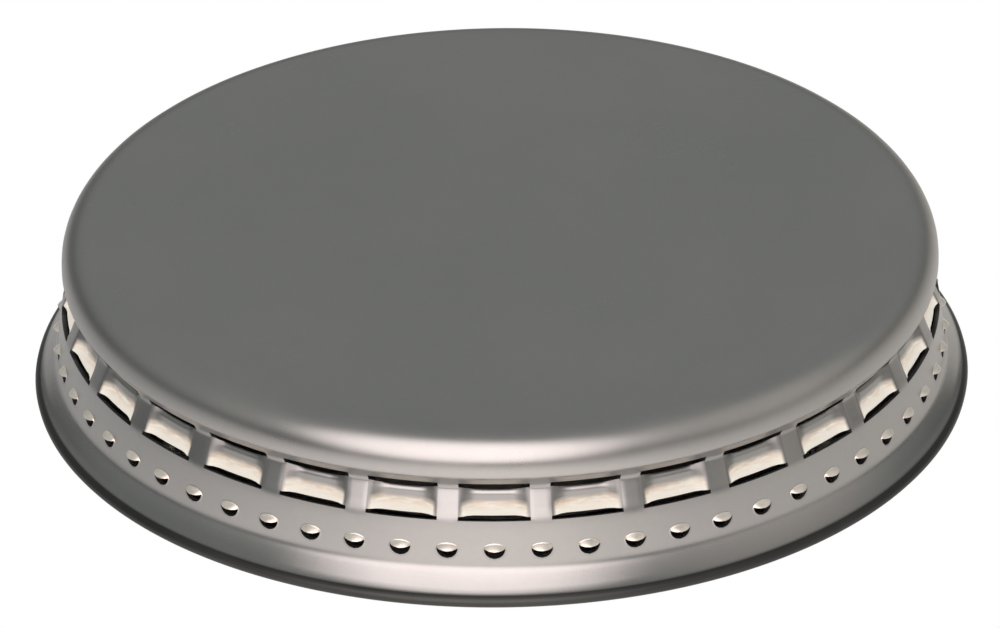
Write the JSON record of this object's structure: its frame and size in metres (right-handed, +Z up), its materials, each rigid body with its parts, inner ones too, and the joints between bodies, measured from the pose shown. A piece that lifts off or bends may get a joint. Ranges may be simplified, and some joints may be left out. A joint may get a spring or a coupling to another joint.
{
  "type": "burner assembly",
  "caption": "Round low pressed-steel burner head with a ring of lanced slots, a ring of small ports, a rolled rim, a base pan, a mixing tube, an injector and a turning air shutter.",
  "frame": {"origin": "centre of the rolled rim, on the plane that it stands on", "axes": "+Z up along the burner's axis, towards the plain disc; the slot called 0 faces -Y"},
  "size_m": [0.1498, 0.1498, 0.0278],
  "materials": {
    "pressed_steel": "satin, as pressed",
    "inner_steel": "matt, as rolled",
    "zinc_plate": "zinc plated",
    "brass": "machined",
    "copper": "soft copper",
    "graphite_gasket": "matt"
  },
  "bodies": {
    "head": {"burner_cap": "pressed_steel", "base_pan": "inner_steel", "distributor_ring": "inner_steel", "mixing_tube": "inner_steel", "air_box": "zinc_plate", "friction_washer": "zinc_plate", "backing_washer": "zinc_plate", "lock_nut": "zinc_plate", "lock_screw_nut": "zinc_plate", "shutter_lock_screw": "zinc_plate", "box_screw_1": "zinc_plate", "box_screw_2": "zinc_plate", "box_screw_3": "zinc_plate", "box_nut_1": "zinc_plate", "box_nut_2": "zinc_plate", "box_nut_3": "zinc_plate", "fixing_nut_1": "zinc_plate", "fixing_nut_2": "zinc_plate", "fixing_nut_3": "zinc_plate", "injector_holder": "brass", "injector": "brass", "injector_seal": "copper", "rim_gasket": "graphite_gasket", "tube_gasket": "graphite_gasket"},
    "shutter": {"air_shutter": "zinc_plate"}
  },
  "joints": [
    {"name": "shutter_turn", "type": "hinge", "parent": "head", "child": "shutter", "pos_m": [0, 0, 0.0046], "axis": [0, 0, 1], "range_deg": [0, 30]}
  ]
}
